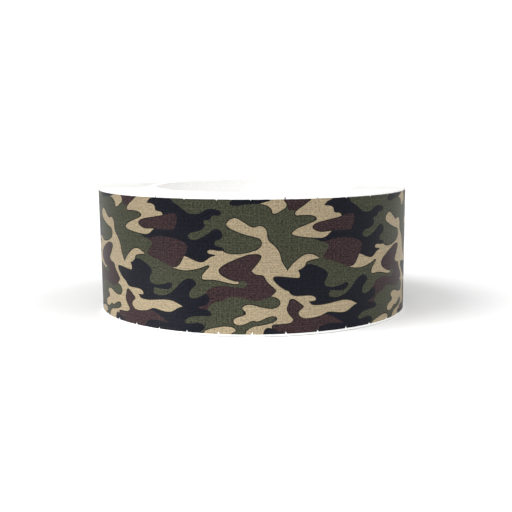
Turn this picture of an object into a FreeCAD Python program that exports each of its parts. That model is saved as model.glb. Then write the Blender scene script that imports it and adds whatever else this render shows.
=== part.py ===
import FreeCAD, Part

import math
import os

import Sketcher

# A roll of printed cloth tape, 48 mm wide, wound on a paper core with a 3 inch bore.
#
# Millimetres, +Z up along the roll's axis. The origin is the centre of the core's bore, in the plane
# of the flat face that the roll stands on.
#
# The outside of a wound tape is a spiral that climbs one tape thickness in each turn. It is drawn as
# two half circles with centres a quarter of that thickness to either side of the axis, so it is smooth
# all the way round, and each layer laid on it is the same pair of arcs with a larger radius. In a
# body's own axes the tape's end comes round to +X, and the body's Placement turns it to end_angle.

Vector = FreeCAD.Vector

DIMENSIONS = {
    # the tape, across its width and through its thickness
    "tape_width": 48.0,
    "film_width": 46.5,
    "film_thickness": 0.08,
    "scrim_thickness": 0.07,
    "adhesive_thickness": 0.12,
    # how much of it is wound on the core
    "turns": 71,
    # the core: a liner, four plies and an outer wrap of paper
    "core_bore_diameter": 76.2,
    "liner_thickness": 0.25,
    "ply_thickness": 0.6,
    "ply_count": 4,
    "wrap_thickness": 0.35,
    # the tape's free end, measured round the roll in degrees, and its clearances
    "end_angle": 80.0,
    "free_end_sweep": 28.4,
    "free_end_lift": 0.1,
    "free_end_clearance": 0.15,
    # V nicks along both edges of the film
    "nick_width": 0.5,
    "nick_depth": 0.75,
    "nick_pitch_angle": 11.03,
    "first_nick_angle": 2.2,
    "nick_count": 33,
    "free_end_nick_count": 2,
}

TAPE_THICKNESS = "(Sheet.film_thickness + Sheet.scrim_thickness + Sheet.adhesive_thickness)"
CORE_RADIUS = (
    "(Sheet.core_bore_diameter / 2 + Sheet.liner_thickness"
    " + Sheet.ply_count * Sheet.ply_thickness + Sheet.wrap_thickness)"
)
PACK_RADIUS = f"({CORE_RADIUS} + (Sheet.turns - 1) * {TAPE_THICKNESS})"
FREE_END_RADIUS = f"({PACK_RADIUS} + {TAPE_THICKNESS} + Sheet.free_end_lift)"

# the laminate from the inside out: name, where it starts and where it ends above the turn below
LAMINATE = (
    ("adhesive", "0", "Sheet.adhesive_thickness"),
    ("scrim", "Sheet.adhesive_thickness", "(Sheet.adhesive_thickness + Sheet.scrim_thickness)"),
    ("film", "(Sheet.adhesive_thickness + Sheet.scrim_thickness)", TAPE_THICKNESS),
)

START, END, CENTRE = 1, 2, 3  # points of a sketch's arc or line
HORIZONTAL_AXIS, VERTICAL_AXIS = -1, -2
VOLUME_TOLERANCE = 1e-4
NICK_VOLUME_TOLERANCE = 0.05  # a nick is cut straight through a curved film


def add_sheet(doc):
    """The driving dimensions, one in each row, with the cell's alias as its name."""
    sheet = doc.addObject("Spreadsheet::Sheet", "Sheet")
    for row, (alias, value) in enumerate(DIMENSIONS.items(), start=1):
        sheet.set(f"A{row}", alias)
        sheet.set(f"B{row}", str(value))
        sheet.setAlias(f"B{row}", alias)
    doc.recompute()
    return sheet


def add_body(doc, name):
    """An empty body, turned about the roll's axis so that its +X points to the tape's end."""
    body = doc.addObject("PartDesign::Body", name)
    body.Label = name
    body.Placement = FreeCAD.Placement(Vector(0, 0, 0), FreeCAD.Rotation(Vector(0, 0, 1), 0))
    body.setExpression("Placement.Rotation.Angle", "Sheet.end_angle * 1 deg")
    return body


def origin_feature(body, role):
    """One of a body's own origin planes or axes."""
    return next(item for item in body.Origin.OriginFeatures if item.Role == role)


def add_sketch(body, name, role):
    """A sketch on one of the body's own origin planes."""
    sketch = body.newObject("Sketcher::SketchObject", f"{body.Label}_{name}")
    sketch.AttachmentSupport = (origin_feature(body, role), [""])
    sketch.MapMode = "FlatFace"
    return sketch


def add_dimension(sketch, name, expression, *constraint):
    """A named constraint bound to an expression over the sheet."""
    index = sketch.addConstraint(Sketcher.Constraint(*constraint))
    sketch.renameConstraint(index, name)
    sketch.setExpression(f".Constraints.{name}", expression)


def value_of(sheet, expression):
    """An expression over the sheet as a number."""
    return float(sheet.evalExpression(expression.replace("Sheet.", "")))


def add_arc(sketch, centre_x, radius, start, end):
    """An arc about a point of the sketch's horizontal axis, angles in degrees."""
    circle = Part.Circle(Vector(centre_x, 0, 0), Vector(0, 0, 1), radius)
    return sketch.addGeometry(Part.ArcOfCircle(circle, math.radians(start), math.radians(end)), False)


def add_spiral(sketch, sheet, name, radius):
    """One turn of the spiral that starts at the given radius on +X. Returns its two arcs."""
    thickness = value_of(sheet, TAPE_THICKNESS)
    start = value_of(sheet, radius)
    first = add_arc(sketch, -thickness / 4, start + thickness / 4, 0, 180)
    second = add_arc(sketch, thickness / 4, start + 3 * thickness / 4, 180, 360)
    sketch.addConstraint(Sketcher.Constraint("PointOnObject", first, CENTRE, HORIZONTAL_AXIS))
    sketch.addConstraint(Sketcher.Constraint("PointOnObject", first, START, HORIZONTAL_AXIS))
    sketch.addConstraint(Sketcher.Constraint("PointOnObject", first, END, HORIZONTAL_AXIS))
    sketch.addConstraint(Sketcher.Constraint("Tangent", first, END, second, START))
    sketch.addConstraint(Sketcher.Constraint("PointOnObject", second, END, HORIZONTAL_AXIS))
    add_dimension(
        sketch, f"{name}_centre", f"{TAPE_THICKNESS} / 4",
        "DistanceX", first, CENTRE, HORIZONTAL_AXIS, START, thickness / 4,
    )
    add_dimension(
        sketch, f"{name}_radius", f"{radius} + {TAPE_THICKNESS} / 4",
        "Radius", first, start + thickness / 4,
    )
    add_dimension(
        sketch, f"{name}_second_radius", f"{radius} + 3 * {TAPE_THICKNESS} / 4",
        "Radius", second, start + 3 * thickness / 4,
    )
    return first, second


def add_line(sketch, first, first_point, second, second_point):
    """A straight edge between two points of the sketch."""
    here = sketch.getPoint(first, first_point)
    there = sketch.getPoint(second, second_point)
    line = sketch.addGeometry(Part.LineSegment(here, there), False)
    sketch.addConstraint(Sketcher.Constraint("Coincident", line, START, first, first_point))
    sketch.addConstraint(Sketcher.Constraint("Coincident", line, END, second, second_point))
    return line


def add_circle(sketch, sheet, name, radius):
    """A circle about the roll's axis."""
    value = value_of(sheet, radius)
    circle = sketch.addGeometry(Part.Circle(Vector(0, 0, 0), Vector(0, 0, 1), value), False)
    sketch.addConstraint(Sketcher.Constraint("Coincident", circle, CENTRE, HORIZONTAL_AXIS, START))
    add_dimension(sketch, name, radius, "Radius", circle, value)


def add_pad(body, sketch, width="Sheet.tape_width"):
    """The sketch raised to the tape's width, or to a narrower strip centred on it."""
    sketch.setExpression("AttachmentOffset.Base.z", f"(Sheet.tape_width - {width}) / 2")
    pad = body.newObject("PartDesign::Pad", f"{body.Label}_pad")
    pad.Profile = sketch
    pad.setExpression("Length", width)
    sketch.Visibility = False
    return pad


def add_tube(doc, sheet, name, inner_radius, outer_radius):
    """One layer of the core."""
    body = add_body(doc, name)
    sketch = add_sketch(body, "profile", "XY_Plane")
    add_circle(sketch, sheet, "inner_radius", inner_radius)
    add_circle(sketch, sheet, "outer_radius", outer_radius)
    add_pad(body, sketch)
    return body


def add_core(doc, sheet):
    """The paper core's layers from the bore outwards, each wound on the one before."""
    layers = [("core_inner_liner", "Sheet.liner_thickness")]
    for number in range(1, int(sheet.ply_count) + 1):
        layers.append((f"core_ply_{number}", "Sheet.ply_thickness"))
    layers.append(("core_outer_wrap", "Sheet.wrap_thickness"))
    tubes = []
    radius = "Sheet.core_bore_diameter / 2"
    for name, thickness in layers:
        next_radius = f"{radius} + {thickness}"
        tubes.append(add_tube(doc, sheet, name, radius, next_radius))
        radius = next_radius
    return tubes


def add_wound_turns(doc, sheet):
    """Every turn but the last, bonded into one block, with the step where the last turn begins."""
    body = add_body(doc, "wound_turns")
    sketch = add_sketch(body, "profile", "XY_Plane")
    first, second = add_spiral(sketch, sheet, "outside", PACK_RADIUS)
    add_line(sketch, second, END, first, START)
    add_circle(sketch, sheet, "inner_radius", CORE_RADIUS)
    add_pad(body, sketch)
    return body


def layer_width(layer):
    """The film is slit narrower than the cloth that it is laid on."""
    return "Sheet.film_width" if layer == "film" else "Sheet.tape_width"


def add_outer_turn(doc, sheet, layer, low, high):
    """One layer of the tape's last whole turn."""
    body = add_body(doc, f"outer_turn_{layer}")
    sketch = add_sketch(body, "profile", "XY_Plane")
    inner = add_spiral(sketch, sheet, "inside", f"({PACK_RADIUS} + {low})")
    outer = add_spiral(sketch, sheet, "outside", f"({PACK_RADIUS} + {high})")
    add_line(sketch, inner[0], START, outer[0], START)
    add_line(sketch, inner[1], END, outer[1], END)
    pad = add_pad(body, sketch, layer_width(layer))
    if layer == "film":
        cut_nicks(body, pad, "Sheet.first_nick_angle", "Sheet.nick_count")
    return body


def add_free_end(doc, sheet, layer, low, high):
    """One layer of the free end, which lies on the start of the last turn with a hair's clearance."""
    body = add_body(doc, f"free_end_{layer}")
    sketch = add_sketch(body, "profile", "XY_Plane")
    thickness = value_of(sheet, TAPE_THICKNESS)
    sweep = float(sheet.free_end_sweep)
    arcs = []
    for name, height in (("inside", low), ("outside", high)):
        radius = f"{FREE_END_RADIUS} + {TAPE_THICKNESS} / 4 + {height}"
        value = value_of(sheet, radius)
        arc = add_arc(sketch, -thickness / 4, value, math.degrees(sheet.free_end_clearance / value), sweep)
        add_dimension(sketch, f"{name}_radius", radius, "Radius", arc, value)
        arcs.append(arc)
    inner, outer = arcs
    sketch.addConstraint(Sketcher.Constraint("PointOnObject", inner, CENTRE, HORIZONTAL_AXIS))
    sketch.addConstraint(Sketcher.Constraint("Coincident", inner, CENTRE, outer, CENTRE))
    add_dimension(
        sketch, "centre", f"{TAPE_THICKNESS} / 4",
        "DistanceX", inner, CENTRE, HORIZONTAL_AXIS, START, thickness / 4,
    )
    root = add_line(sketch, inner, START, outer, START)
    sketch.addConstraint(Sketcher.Constraint("Horizontal", root))
    add_dimension(
        sketch, "clearance", "Sheet.free_end_clearance",
        "DistanceY", HORIZONTAL_AXIS, START, root, START, float(sheet.free_end_clearance),
    )
    tip = add_line(sketch, inner, END, outer, END)
    sketch.addConstraint(Sketcher.Constraint("PointOnObject", inner, CENTRE, tip))
    add_dimension(sketch, "sweep", "Sheet.free_end_sweep * 1 deg", "Angle", tip, math.radians(sweep))
    pad = add_pad(body, sketch, layer_width(layer))
    if layer == "film":
        first = "(Sheet.first_nick_angle + Sheet.nick_count * Sheet.nick_pitch_angle - 360)"
        cut_nicks(body, pad, first, "Sheet.free_end_nick_count")
    return body


def cut_nicks(body, pad, first_angle, count):
    """A V nick in each edge of the film, repeated round the roll at an even pitch."""
    sheet = body.Document.getObject("Sheet")
    sketch = add_sketch(body, "nicks", "YZ_Plane")
    margin = "(Sheet.tape_width - Sheet.film_width) / 2"
    add_nick(sketch, sheet, "bottom", margin, 1)
    add_nick(sketch, sheet, "top", f"Sheet.tape_width - {margin}", -1)
    # the sketch faces along the first nick's radius, so it turns about the roll's axis
    sketch.AttachmentOffset = FreeCAD.Placement(Vector(0, 0, 0), FreeCAD.Rotation(Vector(0, 1, 0), 0))
    sketch.setExpression("AttachmentOffset.Rotation.Angle", f"{first_angle} * 1 deg")

    pocket = body.newObject("PartDesign::Pocket", f"{body.Label}_first_nicks")
    pocket.Profile = sketch
    pocket.Type = "ThroughAll"
    pocket.Reversed = True
    body.Document.recompute()
    removed = pad.Shape.Volume - pocket.Shape.Volume
    expected = float(sheet.nick_width * sheet.nick_depth * sheet.film_thickness)
    if abs(removed - expected) > NICK_VOLUME_TOLERANCE * expected:
        raise RuntimeError(f"{body.Label}: the first nicks remove {removed:.4f}, not {expected:.4f}")

    pattern = body.newObject("PartDesign::PolarPattern", f"{body.Label}_nick_pattern")
    pattern.Originals = [pocket]
    pattern.Axis = (origin_feature(body, "Z_Axis"), [""])
    pattern.setExpression("Occurrences", count)
    pattern.setExpression("Angle", f"({count} - 1) * Sheet.nick_pitch_angle")
    body.Tip = pattern
    sketch.Visibility = False


def add_nick(sketch, sheet, name, height, inward):
    """A triangle that stands on the film's edge, at a height, and points into the film."""
    width = float(sheet.nick_width)
    depth = float(sheet.nick_depth)
    edge = value_of(sheet, height)
    corners = (
        Vector(-width / 2, edge, 0),
        Vector(width / 2, edge, 0),
        Vector(0, edge + inward * depth, 0),
    )
    sides = [
        sketch.addGeometry(Part.LineSegment(corners[side], corners[(side + 1) % 3]), False)
        for side in range(3)
    ]
    for side in range(3):
        after = sides[(side + 1) % 3]
        sketch.addConstraint(Sketcher.Constraint("Coincident", sides[side], END, after, START))
    base = sides[0]
    tip_side = sides[1]
    sketch.addConstraint(Sketcher.Constraint("PointOnObject", tip_side, END, VERTICAL_AXIS))
    sketch.addConstraint(Sketcher.Constraint("Symmetric", base, START, base, END, VERTICAL_AXIS))
    add_dimension(sketch, f"{name}_width", "Sheet.nick_width", "DistanceX", base, START, base, END, width)
    add_dimension(
        sketch, f"{name}_edge", height, "DistanceY", HORIZONTAL_AXIS, START, base, START, edge
    )
    lower, upper = ((base, START), (tip_side, END)) if inward > 0 else ((tip_side, END), (base, START))
    add_dimension(sketch, f"{name}_depth", "Sheet.nick_depth", "DistanceY", *lower, *upper, depth)


def check_volumes(sheet, parts):
    """Compares each solid with the volume that its section and width give."""
    thickness = value_of(sheet, TAPE_THICKNESS)
    width = float(sheet.tape_width)
    pack = value_of(sheet, PACK_RADIUS)

    def half_discs(radius):
        return math.pi / 2 * ((radius + thickness / 4) ** 2 + (radius + 3 * thickness / 4) ** 2)

    expected = {"wound_turns": (half_discs(pack) - math.pi * value_of(sheet, CORE_RADIUS) ** 2) * width}
    for layer, low, high in LAMINATE:
        inside = half_discs(pack + value_of(sheet, low))
        outside = half_discs(pack + value_of(sheet, high))
        expected[f"outer_turn_{layer}"] = (outside - inside) * value_of(sheet, layer_width(layer))
    nicks = int(sheet.nick_count) * sheet.nick_width * sheet.nick_depth * sheet.film_thickness
    expected["outer_turn_film"] -= nicks
    for part in parts:
        if part.Label not in expected:
            continue
        wanted = expected[part.Label]
        if abs(part.Shape.Volume - wanted) > VOLUME_TOLERANCE * wanted:
            raise RuntimeError(f"{part.Label}: volume {part.Shape.Volume:.3f}, expected {wanted:.3f}")


def check_document(doc, parts):
    """Stops on a failed object, and on a sub-part that is not one valid solid."""
    for item in doc.Objects:
        if "Invalid" in item.State or "Error" in item.State:
            raise RuntimeError(f"{item.Label} failed: {item.State}")
    for part in parts:
        shape = part.Shape
        if shape.isNull() or not shape.isValid() or len(shape.Solids) != 1:
            raise RuntimeError(f"{part.Label} is not one valid solid")


def main():
    doc = FreeCAD.newDocument("duct_tape_roll")
    sheet = add_sheet(doc)
    parts = add_core(doc, sheet)
    parts.append(add_wound_turns(doc, sheet))
    parts += [add_outer_turn(doc, sheet, *layer) for layer in LAMINATE]
    parts += [add_free_end(doc, sheet, *layer) for layer in LAMINATE]
    doc.recompute()
    check_document(doc, parts)
    check_volumes(sheet, parts)

    os.makedirs("parts", exist_ok=True)
    for part in parts:
        part.Shape.exportStep(os.path.join("parts", f"{part.Label}.step"))
        box = part.Shape.BoundBox
        size = f"{box.XLength:.2f} x {box.YLength:.2f} x {box.ZLength:.2f}"
        print(f"{part.Label}: {size} mm, {part.Shape.Volume:.1f} mm3")


main()
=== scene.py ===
import math
import random

import bpy
import numpy as np
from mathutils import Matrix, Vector
from mathutils import noise
from mathutils.geometry import delaunay_2d_cdt


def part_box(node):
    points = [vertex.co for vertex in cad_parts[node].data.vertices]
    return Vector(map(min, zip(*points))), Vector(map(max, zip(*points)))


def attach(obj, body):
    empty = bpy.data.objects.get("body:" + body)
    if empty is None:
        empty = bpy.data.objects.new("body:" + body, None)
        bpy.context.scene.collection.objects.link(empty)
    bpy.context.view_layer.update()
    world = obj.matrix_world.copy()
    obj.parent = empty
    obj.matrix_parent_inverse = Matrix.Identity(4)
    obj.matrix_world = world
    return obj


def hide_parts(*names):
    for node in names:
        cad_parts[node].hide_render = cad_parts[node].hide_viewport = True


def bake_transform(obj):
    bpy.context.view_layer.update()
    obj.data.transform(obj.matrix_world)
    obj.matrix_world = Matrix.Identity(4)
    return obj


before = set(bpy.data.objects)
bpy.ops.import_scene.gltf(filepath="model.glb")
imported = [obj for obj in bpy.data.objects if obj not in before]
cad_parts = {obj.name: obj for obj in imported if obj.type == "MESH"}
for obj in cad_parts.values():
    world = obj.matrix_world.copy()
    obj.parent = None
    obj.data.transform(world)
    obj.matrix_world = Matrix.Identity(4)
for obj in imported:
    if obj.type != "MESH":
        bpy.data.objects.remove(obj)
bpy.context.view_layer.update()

# A roll of printed cloth tape: a paper core, about seventy turns of tape, the outer turn with its
# camouflage film, and the free end that peels off the roll.
# Lengths are in millimetres, and MM turns them into metres where a point is placed. The floor, the lamps
# and the camera are in metres from the start.
# "Along" is the distance along the tape from the middle of the roll's front, to the right.
# "Up" is the height above the film's lower edge.
MM = 0.001
TAU = math.tau


def box_mm(node):
    low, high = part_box(node)
    return low / MM, high / MM


def eased(share):
    """A share from 0 to 1 that starts and ends gently."""
    return share * share * (3 - 2 * share)


# ---------------- sizes taken from the frame
WIDTH = box_mm("wound_turns")[1].z
FILM_LOW = box_mm("outer_turn_film")[0].z
FILM_HIGH = box_mm("outer_turn_film")[1].z
FILM_WIDTH = FILM_HIGH - FILM_LOW
LINER_RADIUS = box_mm("core_inner_liner")[1].x
CORE_RADIUS = box_mm("core_outer_wrap")[1].x

# ---------------- the tape and how it is wound
TAPE = 0.27
ADHESIVE = 0.12
SCRIM = 0.07
FILM = 0.08
WOUND_TURNS = 70
END_ANGLE = math.radians(80)
FREE_END_SWEEP = math.radians(28.4)
FREE_END_LIFT = 0.1
ROOT_LENGTH = 10.0
BEND_LENGTH = 26.0
BEND_STEP = 0.6

OUTER_START = WOUND_TURNS * TAU
OUTER_END = OUTER_START + TAU
FREE_TIP = OUTER_END + FREE_END_SWEEP
FACE_RADIUS = CORE_RADIUS + WOUND_TURNS * TAPE + TAPE / 2 + TAPE
FRONT = OUTER_START + math.radians(270) - END_ANGLE
SPLIT = OUTER_END - ROOT_LENGTH / FACE_RADIUS


def lift(angle):
    """How far the free end stands off the turn under it."""
    share = min(max((angle - SPLIT) / (OUTER_END - SPLIT), 0), 1)
    return FREE_END_LIFT * eased(share)


def wound_point(angle, rise, height):
    """The point of the winding at an angle counted from the core, so far above the turn's inner face.

    Each turn is two half circles whose centres are half a thickness apart, so the line has no step.
    """
    turn, part = divmod(angle, TAU)
    first_half = part < math.pi
    centre = -TAPE / 4 if first_half else TAPE / 4
    radius = CORE_RADIUS + turn * TAPE + (TAPE / 4 if first_half else 3 * TAPE / 4) + rise + lift(angle)
    x = centre + radius * math.cos(part)
    y = radius * math.sin(part)
    turned_x = x * math.cos(END_ANGLE) - y * math.sin(END_ANGLE)
    turned_y = x * math.sin(END_ANGLE) + y * math.cos(END_ANGLE)
    return Vector((turned_x, turned_y, height)) * MM


def angle_at(along):
    return FRONT + along / FACE_RADIUS


def along_at(angle):
    return (angle - FRONT) * FACE_RADIUS


def stations(start, end, step):
    """Winding angles from start to end, a step in millimetres apart, and closer where the tape bends."""
    bend_start = OUTER_END - BEND_STEP / FACE_RADIUS
    bend_stop = OUTER_END + BEND_LENGTH / FACE_RADIUS
    marks = [mark for mark in (bend_start, bend_stop) if start < mark < end]
    stops = [start, *marks, end]
    angles = [start]
    for low, high in zip(stops, stops[1:]):
        fine = bend_start - 1e-9 <= low and high <= bend_stop + 1e-9
        count = max(1, round((high - low) * FACE_RADIUS / (BEND_STEP if fine else step)))
        angles += [low + (high - low) * number / count for number in range(1, count + 1)]
    return angles


# ---------------- small helpers
def placed(name, data):
    """A new object with this mesh, lamp or camera, put into the scene."""
    piece = bpy.data.objects.new(name, data)
    bpy.context.scene.collection.objects.link(piece)
    return piece


def make_piece(name, points, faces, materials, inks=None):
    """A smooth-shaded mesh object. The inks are each face's number in the list of materials."""
    mesh = bpy.data.meshes.new(name)
    mesh.from_pydata(points, [], faces)
    for material in materials:
        mesh.materials.append(material)
    if inks:
        mesh.polygons.foreach_set("material_index", inks)
    mesh.polygons.foreach_set("use_smooth", [True] * len(mesh.polygons))
    mesh.update()
    return placed(name, mesh)


def sharpen(piece, degrees=50):
    """Shades the piece smooth except across edges that turn more than this."""
    piece.data.set_sharp_from_angle(angle=math.radians(degrees))


def lay_flat(piece, places):
    """Keeps each point's place on the flat tape, in millimetres, for the weave."""
    layer = piece.data.attributes.new("tape_place", "FLOAT_VECTOR", "POINT")
    layer.data.foreach_set("vector", [number for place in places for number in place])


def smoothed(corners, step):
    """A closed smooth line through the points. A point marked SHARP stays a corner."""
    line = []
    count = len(corners)
    for i, here in enumerate(corners):
        after = corners[(i + 1) % count]
        b = Vector(here[:2])
        c = Vector(after[:2])
        a = b if len(here) == 3 else Vector(corners[i - 1][:2])
        d = c if len(after) == 3 else Vector(corners[(i + 2) % count][:2])
        pieces = max(2, int((c - b).length / step))
        for j in range(pieces):
            t = j / pieces
            line.append((2 * b + (c - a) * t + (2 * a - 5 * b + 4 * c - d) * t * t
                         + (3 * b - a - 3 * c + d) * t ** 3) / 2)
    return line


def turns_left(line):
    """The line in the direction that has its inside on the left."""
    twice_area = sum(line[i - 1].cross(line[i]) for i in range(len(line)))
    return line if twice_area > 0 else line[::-1]


NEAREST = 0.96


def widened(line, distance):
    """The left-turning line moved outward, or inward where the distance is below zero.

    Points that come nearer to the old line than this share of the distance are left out, so that the new
    line never crosses itself.
    """
    starts = np.array([point[:] for point in line])
    ends = np.roll(starts, -1, axis=0)
    run = ends - np.roll(starts, 1, axis=0)
    outward = np.stack([run[:, 1], -run[:, 0]], axis=1)
    moved = starts + distance * outward / np.linalg.norm(outward, axis=1)[:, None]
    spans = ends - starts
    reach = moved[:, None] - starts[None]
    share = np.clip((reach * spans).sum(2) / (spans * spans).sum(1), 0, 1)
    gaps = np.linalg.norm(reach - share[..., None] * spans, axis=2).min(1)
    return [Vector(point) for point in moved[gaps > NEAREST * abs(distance)].tolist()]


# ---------------- the printed pattern
# One repeat of a plain woodland camouflage, as (along, up) points.
# What runs past the film is cut off by its edges. A point marked SHARP is a corner.
SHARP = True

EDGE_STUB = [
    (11, 48.5), (11.2, 46.3), (12.1, 45.1), (12.3, 44), (12.3, 43.1), (13, 42.7), (14.2, 42.8),
    (16, 42), (19, 43.5), (23, 47), (22, 49),
]

TREE = [
    (-8.7, 38), (-7.6, 39.5), (-6, 40.2), (-4.5, 39.8), (-2.4, 38.5), (-0.5, 37.3), (0.9, 37),
    (2.5, 37.5), (4, 37.1), (5, 35.8), (5.2, 33.8), (5.8, 32.3), (7.3, 31), (8.8, 29.3), (9.7, 27.4),
    (10.1, 25.6), (11, 23.9), (12.2, 22, SHARP), (13.8, 24), (15.5, 25.5), (17.5, 26.9),
    (19.5, 27.5), (21.5, 27.2), (24, 25.9, SHARP), (21.5, 25.6), (19.6, 25.1), (18.7, 24.3), (18, 21),
    (17, 16), (23.5, 14), (24.5, 10.5), (18, 7), (16, 4.5), (14, 3), (12, 2), (7, -2), (-2.6, -2),
    (-2.1, 0.5), (-1.5, 1.5), (0.5, 2.7), (3, 3.1), (5.5, 3.6), (7.6, 4.2), (8.7, 5.2), (8.1, 6.2),
    (6.6, 6.3), (4.6, 5.7), (2.9, 4.9), (1.5, 4.6), (0.4, 4.9), (-0.8, 4.5), (-2.2, 3.8), (-3.7, 3.3),
    (-5.3, 3.4), (-6.3, 4.2), (-6.2, 5.2), (-5.2, 5.9), (-3.6, 6.4), (-2.2, 7), (-2.2, 7.9),
    (-3.4, 9.1), (-2.6, 10), (-1, 10.4), (1, 10.1), (3, 9.5), (5, 9.1), (7, 8.9), (8.7, 9.4),
    (9.7, 10.4), (9.7, 11.5), (8.8, 12.6), (7.6, 13.1), (6.5, 13.3, SHARP), (5.5, 15), (3, 18),
    (2, 20), (-2, 23), (-7, 20.4), (-5.3, 18.8), (-4.4, 18.1), (-5, 17.65), (-6.6, 17.7), (-8.7, 18.1),
    (-11, 18.6), (-13.5, 18.95), (-16, 18.85), (-17.3, 19.1), (-17.3, 20.2), (-16.5, 21.4),
    (-15.3, 22.6), (-14.6, 23.5), (-15.3, 23.9), (-16.8, 23.3), (-18.7, 22.6), (-21, 22.1),
    (-23.5, 21.75), (-26, 21.9), (-28.5, 22.35, SHARP), (-27, 25), (-25, 28), (-20, 28), (-17, 29),
    (-15.5, 30), (-10.5, 29.6), (-9.9, 28.8), (-8.8, 28.2), (-7, 27.85), (-4.5, 27.85), (-2, 28.2),
    (0.2, 28.8), (2, 29.5), (3.2, 30.6), (3.4, 32), (2.7, 33.2), (1, 33.8), (-1.5, 34.4), (-4, 35.2),
    (-6, 36), (-7.7, 36.9),
]

BRANCH = [
    (20, 49), (20.8, 46.6), (19.6, 45.4), (17.6, 44), (15.9, 42.9), (14.9, 41.8), (15.2, 41),
    (17, 41), (19.4, 41), (21.5, 40.7), (22.8, 39.8), (22.2, 38.8), (20.3, 38.1), (17.8, 37.2),
    (15.6, 36.4), (13.9, 35.1), (14.3, 34.3), (16, 33.85), (18.5, 33.45), (21.6, 33.1), (24, 32.9),
    (26, 32.9), (28, 33.6), (29.5, 34.6), (31, 37), (33.4, 39.3), (33.4, 41), (31, 43), (30.5, 46),
    (30, 49),
]

DROP = [
    (2.8, 45.05, SHARP), (4.5, 44.7), (5.9, 44), (6.8, 43), (7, 42), (7.4, 41.65), (8.6, 41.9),
    (9.8, 42.6), (11.2, 43.4), (11.8, 44.3), (11.6, 45.2), (10.8, 46.3), (10.5, 49), (5, 49), (4, 46.5),
]

BOOT = [
    (-11.5, 22.3), (-11.1, 23), (-10.2, 23.8), (-8.5, 24.8), (-6, 26), (-3.5, 27), (-1, 27.8),
    (1.5, 28), (2.9, 27.7), (3.3, 26.9), (2.8, 25.8), (1.8, 24.4), (0.6, 23), (-0.1, 22), (0.6, 21.3),
    (2, 20.85), (3.5, 20.7), (4.4, 19.9), (5, 18.7), (6.2, 17.4), (7.6, 16.2), (8.35, 15.2),
    (7.8, 14.3), (6.6, 13.3), (5, 12.6), (3.3, 11.9), (1.5, 11.75), (-0.5, 12.1), (-3, 12.6),
    (-5.5, 13.1), (-7.6, 13.1), (-8.8, 12.5), (-10, 11.7), (-12, 11.3), (-13.8, 10.6), (-15, 9.6),
    (-15.5, 8.6), (-17.5, 8.2), (-20.5, 8.8), (-18, 11), (-16.3, 13.9), (-15.2, 15.3), (-13.7, 16.2),
    (-11.5, 16.8), (-9, 16.9), (-7, 16.6), (-5, 16.35), (-3, 16.35), (-1.9, 16.8), (-1.6, 17.6),
    (-2.1, 18.3), (-3.2, 18.6), (-5, 18.4), (-6.8, 18.75), (-8.8, 19.5), (-10.5, 20.5), (-11.4, 21.5),
]

CLOUD = [
    (7.2, 19.3), (7.5, 20), (8.6, 20.2), (10.7, 20.05), (13, 19.75), (15, 19.5), (16.3, 19.5),
    (16.65, 20), (16.4, 21.2), (15.9, 22.1, SHARP), (17.1, 22.5), (18.2, 23.3), (19.2, 23.9),
    (20.3, 24), (21.8, 23.7), (23.7, 22.9), (25.5, 22), (26.8, 21), (27.2, 20), (27, 19.1), (26.3, 18),
    (26, 17), (26.3, 16.2), (27.2, 15.6), (28.5, 15.4), (28.8, 14.8), (28.4, 14.3), (27.8, 13.5),
    (27.8, 12.6), (28.4, 11.8), (29.5, 11.35), (30.8, 11.15), (30.5, 10), (29.5, 8.5), (22, 8.8),
    (20.3, 10), (19.3, 10.95, SHARP), (21, 11), (22.2, 11.1), (22.6, 11.6), (22.2, 12.3), (21.2, 12.8),
    (19.5, 13), (17, 13), (15, 13.1), (13.8, 13.5), (13.1, 14.1), (12.6, 14.8), (11.5, 15.3),
    (10, 16.2), (8.7, 17.3), (7.6, 18.4),
]

BRIDGE = [
    (27, 15.7), (29, 15.35), (31, 15.6), (33, 16), (34.8, 16.6), (35.8, 16.3), (36, 15.5),
    (35.2, 14.6), (34, 14), (32, 13.95), (30, 14.1), (28, 14.4), (27, 14.9),
]

STREAM = [
    (-37.5, 12.3), (-35, 12.1), (-33, 12.2), (-31.3, 12.7), (-30, 13.3), (-28.5, 14.4), (-27, 15.8),
    (-25.5, 17.3), (-24, 18.4), (-22.5, 18.95), (-21, 18.8), (-19.9, 18), (-19.6, 17.2), (-20.2, 16.3),
    (-21.2, 15.4), (-22.1, 14.2), (-22.4, 13.2), (-21.9, 12.4), (-20.8, 12.05), (-19.3, 12.3),
    (-17.8, 13.1), (-16.4, 13.7), (-15.3, 13.3), (-14.8, 12.3), (-15.1, 11), (-15.7, 10.1),
    (-17.3, 9.5), (-19.4, 9, SHARP), (-17.5, 8.5), (-15.6, 8.3), (-14.5, 7.6), (-14.1, 6.8),
    (-14.9, 6.2), (-17, 6), (-20, 5.8), (-22, 5.4), (-23.4, 4.5), (-24.2, 3.7), (-23.6, 3.05),
    (-21.5, 3.2), (-18.8, 3.5), (-17.3, 3.2), (-16.5, 2.3), (-16.9, 1.3), (-18.1, 0.5), (-19, -2),
    (-42, -2), (-41, 2), (-40, 6.5), (-38.8, 9),
]

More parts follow.
